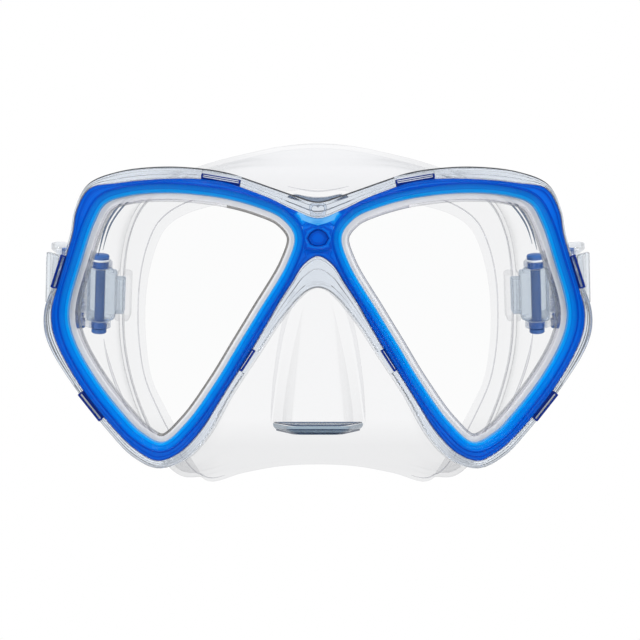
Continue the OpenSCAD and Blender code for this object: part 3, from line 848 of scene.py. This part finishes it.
def seat(name, side):
    """Groove round one lens edge, with the bead that shows inside the blue frame."""
    loop = window_at[side]
    profile = [(-2.6, 4.0), (-2.52, 3.8), (-2.36, 3.6), (-2.1, 3.38), (-1.75, 3.2), (-1.3, 3.1),
               (-0.8, 3.05), (3.1, 3.06), (3.1, FLANGE_Y),
               (0.4, FLANGE_Y), (0.4, COLLAR_Y + 0.8), (-1.6, COLLAR_Y + 0.8), (-1.6, 8.3),
               (1.25, 8.25), (1.25, 4.15), (-2.4, 4.15), (-2.55, 4.08)]
    shell = Shell()
    shell.loft(rings_of(loop, profile, lens_place), closed=True)
    obj = shell.make(name, [seal_silicone, shade_silicone[side], highlight], 40)
    bead, inner_edge = (4, 5, 6), (0, 1, 2, 3, 15, 16)      # bands of the profile: the bead in painted highlight, and the inner edge, in painted shade beside the nose
    for face in obj.data.polygons:
        x, _, z = face.center / MM
        band = face.index // len(loop)
        if band in bead:
            face.material_index = 2
        elif band in inner_edge and abs(x) < 28 + (38 - z) * 0.31:      # beside the nose
            face.material_index = 1
    return obj


def collar():
    """The part of the skirt that is clamped behind the flange."""
    return plate("collar", grown(rim, -1.5), [(-0.3, COLLAR_Y + 0.05), (0, COLLAR_Y + 0.35),
                 (0, COLLAR_Y + 1.6), (-0.4, COLLAR_Y + 2)], windows,
                 [(-1.2, COLLAR_Y + 0.05), (-1.6, COLLAR_Y + 0.4), (-1.6, COLLAR_Y + 1.6),
                  (-1.2, COLLAR_Y + 2)], lens_place, silicone)


def block(name, x0, x1, half_y, half_z, radius, place, material, edge):
    """A box with rounded corners and edges, from x0 to x1."""
    outline = rounded([(x0, -half_y), (x0, half_y), (x1, half_y), (x1, -half_y)], radius)
    return bar(name, outline, -half_z, half_z, place, material, edge=edge)


def lug_boss(side):
    return block("boss", LUG_FACE - 5, LUG_FACE, 5.4, BLOCK_HALF, 1.8,
                 by_matrix(pivot_place(side)), silicone, 1.0)


def wall_rib(name, stations, row, radius, inner, material):
    """A fine round ridge along a run of stations, at a row from 0 in front to 1 at the lip.

    row gives where it starts and where it ends, and inner how far it lies inside the wall."""
    steps = range(int(stations[0] * WALL_STEPS), int(stations[1] * WALL_STEPS) + 1)
    line = []
    for i, f in zip(steps, np.linspace(*row, len(steps)) * (wall.shape[1] - 1)):
        j, part = int(f), f % 1
        pair = (wall - wall_normal * inner)[i % len(wall), j:j + 2]
        line.append(pair[0] * (1 - part) + pair[1] * part)
    rings = []
    for k, p in enumerate(line):
        ahead = Vector(line[min(k + 1, len(line) - 1)] - line[max(k - 1, 0)]).normalized()
        frame_x = ahead.cross(Vector((0.3, 0.2, 1))).normalized()
        frame_y = ahead.cross(frame_x)
        fade = radius * min(1, 0.25 + min(k, len(line) - 1 - k) / 5)
        rings.append([Vector(p) + fade * (cos(a) * frame_x + sin(a) * frame_y)
                      for a in (2 * pi * m / 10 for m in range(10))])
    shell = Shell()
    shell.ends(shell.loft(rings))
    return shell.make(name, [material], 60)


skirt = skirt_wall()
join_solids(skirt, [collar(), nose_solid(0, 0, 0, 0), lug_boss(1), lug_boss(-1)], "UNION")
join_solids(skirt, [nose_solid(1.7, 14, 1.6, 2.7)], "DIFFERENCE")
finish_mesh(skirt, "clear_skirt", 42)
skirt.data.materials.append(floor_shade_silicone)
# The floor of the nose pocket, in painted shade
for face in skirt.data.polygons:
    x, y, z = face.center / MM
    if abs(x) < 16 and y < -44 and -38 < z < NOSE[-1][0] + 2.9:
        face.material_index = 1
skirt_pieces = [skirt]
for number, (z, inset, radius) in enumerate(((-34.2, 1.2, 0.22), (-36.7, 0.3, 0.28))):
    skirt_pieces.append(nose_line(f"nose_floor_line_{number + 1}", z, inset, radius))
for word, reach, row, radius in (("brow_seam", 0.95, 0.07, 0.2),
                                 ("brow_seam_low", 0.7, 0.045, 0.16)):
    skirt_pieces.append(wall_rib(word, (-reach, reach), (row, row), radius, 0.3, seal_silicone))

# Ridges of one side of the wall: stations from the top centre, rows, radius, material
# The grooves are fine lines of painted shade.
RIBS = [("groove", (3.2, 6.9), (0.12, 0.08), 0.34, line_shade_silicone),
        ("groove_twin", (3.4, 6.8), (0.138, 0.096), 0.28, line_shade_silicone),
        ("low_groove", (8.8, 10.8), (0.12, 0.12), 0.4, seal_silicone),
        ("fold_a", (4.5, 12.5), (0.5, 0.5), 0.16, seal_silicone),
        ("fold_b", (4.2, 12.5), (0.6, 0.6), 0.16, seal_silicone),
        ("seal", (2.5, 14.5), (0.9, 0.9), 0.2, seal_silicone)]
STATIONS = 2 * len(COLLAR_RING) - 2
for hand, side in SIDES:
    for word, run, row, radius, material in RIBS:
        if side < 0:
            run, row = (STATIONS - run[1], STATIONS - run[0]), row[::-1]
        rib = wall_rib(f"{hand}_{word}", run, row, radius, 0.5, material)
        skirt_pieces.append(rib)
    skirt_pieces.append(seat(f"{hand}_lens_seat", side))
for piece in skirt_pieces:
    place_on(piece, "mask", "clear_silicone", "skirt")

# ---- buckles ----

# In a buckle's own axes x points outwards, y back along the buckle, and z along the pivot
CHEEK = smooth_loop([(-4, -0.5), (-4.3, 7), (-4.5, 14), (-3.6, 22), (-1.9, 29.5), (0.8, 32.1),
                     (3.6, 31.2), (4.7, 28.4), (5.2, 21), (5.45, 14), (5, 7), (4, 0.2),
                     (2.4, -3.2), (0, -4), (-2.6, -3)], 5)
COVER = rounded([(4.1, 4.6), (4.4, 10.8), (5.8, 10.6), (5.6, 4.8)], 0.6)
REAR_BAR = rounded([(-1.6, 26.6), (-1.2, 29.6), (2.2, 31), (3, 28.6), (0.6, 26.4)], 0.8)
PAWL = rounded([(1.6, 20.9), (4.9, 20.9), (4.2, 17.9), (3.1, 18)], 0.5)
GRIP = rounded([(3.2, 23.2), (5.2, 29.6), (6.8, 29), (5.2, 21.8)], [0.9, 0.8, 0.8, 0.9])
SPRING_GAP = rounded([(0, 19.1), (0, 24), (8, 24), (8, 19.1)], 0.1)


def pivot_parts(hand, lug_at, own):
    """Lug, pivot pin with a head, its cap and washer, and the bushes between pin and buckle."""
    bore, face, low, high = PIN_R + FIT, LUG_FACE + FIT, -CHEEK_OUT, CHEEK_OUT
    lug = turned("lug", tube_profile(bore, 4.4, -LUG_HALF, LUG_HALF, 0.7), lug_at, frosted)
    join_solids(lug, [block("block", face, -1.9, 4.4, BLOCK_HALF, 1.2, lug_at, frosted, 0.7),
                      block("tongue", face - 3, face + 0.3, 3.2, 5.9, 0.9, lug_at, frosted, 0.5)],
                "UNION")
    finish_mesh(lug, f"{hand}_lug")
    place_on(lug, "mask", "frosted_lug", f"{hand}_buckle_lug")

    pin = turned(f"{hand}_pin", [
        (AXIS, low - 2), (2.2, low - 2), (2.55, low - 1.7), (2.55, low - 0.5), (1.9, low - 0.35),
        (1.9, low - FIT), (PIN_R, low - FIT), (PIN_R, high + 1), (PIN_R - 0.2, high + 1.2),
        (AXIS, high + 1.2)], lug_at, dark_pins)
    place_on(pin, "mask", "dark_blue_pins", f"{hand}_pivot_pin")
    z, hole = high + FIT, PIN_R + 0.02
    cap = turned(f"{hand}_cap", [
        (hole, z), (2.0, z), (2.0, z + 0.4), (2.75, z + 0.55), (2.85, z + 1.6), (2.6, z + 2.05),
        (2.1, z + 2.2), (AXIS, z + 2.2), (AXIS, z + 1.3), (hole, z + 1.3)], lug_at, dark_pins)
    place_on(cap, "mask", "dark_blue_pins", f"{hand}_pivot_cap")
    washer = turned(f"{hand}_cap_washer", tube_profile(bore, 3.15, z - 0.03, z + 0.62, 0.12),
                    lug_at, white_trim)
    place_on(washer, "mask", "frosted_lug", f"{hand}_pivot_cap")

    for end, word in ((1, "upper"), (-1, "lower")):
        span = sorted((end * (CHEEK_GAP - 0.1), end * CHEEK_OUT))
        profile = tube_profile(bore, BUSH_R, *span, 0.15)
        bush = turned(f"{hand}_{word}_bush", profile, own, blue_bushes)
        place_on(bush, f"{hand}_buckle", "blue_bushes", f"{hand}_pivot_bushes")


def buckle_shell(hand, own):
    """Two cheeks joined by a cover in front of the roller and a bar at the rear."""
    holes = [circle(0, 0, BUSH_R + FIT), circle(*ROLLER_AT, AXLE_R + FIT),
             circle(*LEVER_AT, LEVER_PIN_R + FIT)]
    shell, lower = [bar("cheek", CHEEK, *sorted((end * CHEEK_GAP, end * CHEEK_OUT)), own,
                        clear_buckle, holes, edge=0.35) for end in (1, -1)]
    cover = bar("cover", COVER, -CHEEK_OUT + 0.3, CHEEK_OUT - 0.3, own, clear_buckle, edge=0.3)
    rear = bar("rear", REAR_BAR, -CHEEK_OUT + 0.4, CHEEK_OUT - 0.4, own, clear_buckle)
    join_solids(shell, [lower, cover, rear], "UNION")
    finish_mesh(shell, f"{hand}_buckle_shell")
    place_on(shell, f"{hand}_buckle", "clear_buckle", f"{hand}_buckle_frame")


def roller_parts(hand, own):
    """Axle with a head at its lower end, and the grooved roller."""
    half = CHEEK_OUT + 0.3
    head = [(AXIS, -half - 3.2), (1.7, -half - 3.2), (1.95, -half - 2.9), (1.95, -half - 0.1),
            (AXLE_R, -half + 0.1)]
    axle = turned(f"{hand}_axle", head + pin_profile(AXLE_R, -half, half)[4:], own,
                  dark_pins, ROLLER_AT)
    place_on(axle, f"{hand}_buckle", "dark_blue_pins", f"{hand}_roller_axle")

    half, bore, edge = CHEEK_GAP - 0.2, AXLE_R + FIT, 0.3
    profile = [(bore, -half), (ROLLER_R - edge, -half), (ROLLER_R, -half + edge)]
    for z in (1.25 * k for k in range(-6, 7)):
        profile += [(ROLLER_R, z - edge), (ROLLER_R - 0.22, z), (ROLLER_R, z + edge)]
    profile += [(ROLLER_R, half - edge), (ROLLER_R - edge, half), (bore, half)]
    roller = turned(f"{hand}_roller", profile, own, milky, ROLLER_AT)
    place_on(roller, f"{hand}_roller", "frosted_roller", f"{hand}_strap_roller")


def lever_parts(hand, own):
    """Pin of the lever, and the lever: a hub with pawl and grip, cut away round its spring."""
    peg = turned(f"{hand}_lever_peg", pin_profile(LEVER_PIN_R, -CHEEK_OUT, CHEEK_OUT, 0.15),
                 own, dark_pins, LEVER_AT)
    place_on(peg, f"{hand}_buckle", "dark_blue_pins", f"{hand}_lever_pin")

    half, bore = CHEEK_GAP - 0.3, LEVER_PIN_R + FIT
    lever = turned("hub", tube_profile(bore, 2.1, -half, half, 0.2), own, clear_lever, LEVER_AT)
    join_solids(lever, [bar("pawl", PAWL, -half, half, own, clear_lever, edge=0.12),
                        bar("grip", GRIP, -9, 8.6, own, clear_lever, edge=0.25)], "UNION")
    join_solids(lever, [turned("drill", pin_profile(bore, -20, 20, 0.1), own, clear_buckle,
                               LEVER_AT),
                        bar("gap", SPRING_GAP, -2.4, 2.4, own, clear_buckle, edge=0.05)],
                "DIFFERENCE")
    finish_mesh(lever, f"{hand}_lever")
    place_on(lever, f"{hand}_lever", "clear_lever", f"{hand}_release_lever")


def lever_spring(hand, own):
    """Coil round the lever pin."""
    turns, around, wire_sides = 5, 28, 10
    coil_r, wire_r, half = 1.6, 0.3, 1.85
    rings = []
    for k in range(turns * around + 1):
        a, z = 2 * pi * k / around, -half + 2 * half * k / (turns * around)
        rings.append([])
        for b in (2 * pi * j / wire_sides for j in range(wire_sides)):
            r = coil_r + wire_r * cos(b)
            rings[-1].append(own(LEVER_AT[0] + r * cos(a), LEVER_AT[1] + r * sin(a),
                                 z + wire_r * sin(b)))
    coil = Shell()
    coil.ends(coil.loft(rings))
    spring = coil.make(f"{hand}_spring", [steel], 60)
    place_on(spring, f"{hand}_buckle", "spring_steel", f"{hand}_lever_spring")


for hand, side in SIDES:
    own = by_matrix(buckle_place(side))
    pivot_parts(hand, by_matrix(pivot_place(side)), own)
    buckle_shell(hand, own)
    roller_parts(hand, own)
    lever_parts(hand, own)
    lever_spring(hand, own)

# ---- floor, light and camera ----

FLOOR_Z, FLOOR_R = -0.3, 1.3     # metres
FILL_LIGHT = 0.45


def floor():
    """A pale disc below the mask that fades out towards its edge."""
    shell = Shell()
    rings = [[(r * cos(2 * pi * i / 96), r * sin(2 * pi * i / 96), FLOOR_Z) for i in range(96)]
             for r in (FLOOR_R, 0.5)]
    ids = shell.loft(rings)
    shell.face(ids[1])
    m, tree, out = shader("pale_floor")
    far = node(tree, "ShaderNodeVectorMath", {0: object_place(tree)}, operation="LENGTH")
    fade = spread(tree, far.outputs["Value"], 0.0, 1.0, 0.75, FLOOR_R)
    pale = tint(tree, noise(tree, 6.0), (0.88, 0.885, 0.89), (0.92, 0.92, 0.92))
    paint = principled(tree, Base_Color=pale, Roughness=0.9)
    gone = node(tree, "ShaderNodeBsdfTransparent").outputs[0]
    tree.links.new(blend(tree, fade, paint, gone), out.inputs[0])
    obj = shell.make("studio_floor", [m], 30, 1.0)


def studio_world():
    """White to the camera. What lights the mask is bright behind it, less so in front, and dim
    from the sides and from overhead, with an even fill for matt surfaces."""
    world = bpy.data.worlds.new("studio")
    bpy.context.scene.world = world
    world.use_nodes = True
    tree = world.node_tree
    tree.nodes.clear()
    out = tree.nodes.new("ShaderNodeOutputWorld")
    way = node(tree, "ShaderNodeTexCoord").outputs["Generated"]
    part = node(tree, "ShaderNodeSeparateXYZ", {0: way}).outputs
    behind = spread(tree, part[1], 0.05, 1.0, 0.45, 0.97)
    front = spread(tree, part[1], 0.05, 0.4, -0.5, -0.97)
    above = spread(tree, part[2], 1.0, 0.15, 0.2, 0.6)
    level = maths(tree, "MULTIPLY", maths(tree, "MAXIMUM", behind, front), above)
    path = node(tree, "ShaderNodeLightPath").outputs
    fill = maths(tree, "MULTIPLY", path["Is Diffuse Ray"], FILL_LIGHT)
    level = maths(tree, "MAXIMUM", maths(tree, "MAXIMUM", level, fill), path["Is Camera Ray"])
    back = node(tree, "ShaderNodeBackground", {"Color": (1, 1, 1, 1), "Strength": level})
    tree.links.new(back.outputs[0], out.inputs[0])


def area_light(name, place, target, size, power, glossy=False):
    data = bpy.data.lights.new(name, "AREA")
    data.shape, data.size, data.size_y, data.energy = "RECTANGLE", size[0], size[1], power
    obj = bpy.data.objects.new(name, data)
    obj.visible_glossy = glossy
    obj.location = place
    obj.rotation_euler = (Vector(target) - Vector(place)).to_track_quat("-Z", "Y").to_euler()
    bpy.context.scene.collection.objects.link(obj)


floor()
studio_world()
area_light("top_soft", (0, -0.25, 0.8), (0, -0.04, 0), (0.9, 0.5), 6, True)
area_light("front_left", (-0.75, -0.8, 0.35), (0, -0.04, 0), (0.4, 0.6), 6)
area_light("front_right", (0.75, -0.8, 0.35), (0, -0.04, 0), (0.4, 0.6), 6)

scene = bpy.context.scene
camera = bpy.data.objects.new("camera", bpy.data.cameras.new("camera"))
scene.collection.objects.link(camera)
scene.camera = camera
DISTANCE, SEEN_WIDTH = 0.70, 0.2016        # metres, the width being at the front of the mask
SENSOR = 36
camera.location = (0, -MASK_DEPTH * MM - DISTANCE, 0)
camera.rotation_euler = (pi / 2, 0, 0)
camera.data.sensor_width = SENSOR
camera.data.lens = SENSOR * DISTANCE / SEEN_WIDTH
camera.data.shift_x, camera.data.shift_y = 0.003125, -0.00390625
camera.data.clip_start = 0.01

scene.view_settings.view_transform = "Standard"
scene.cycles.max_bounces = 24
scene.cycles.transmission_bounces = 24
scene.cycles.transparent_max_bounces = 40
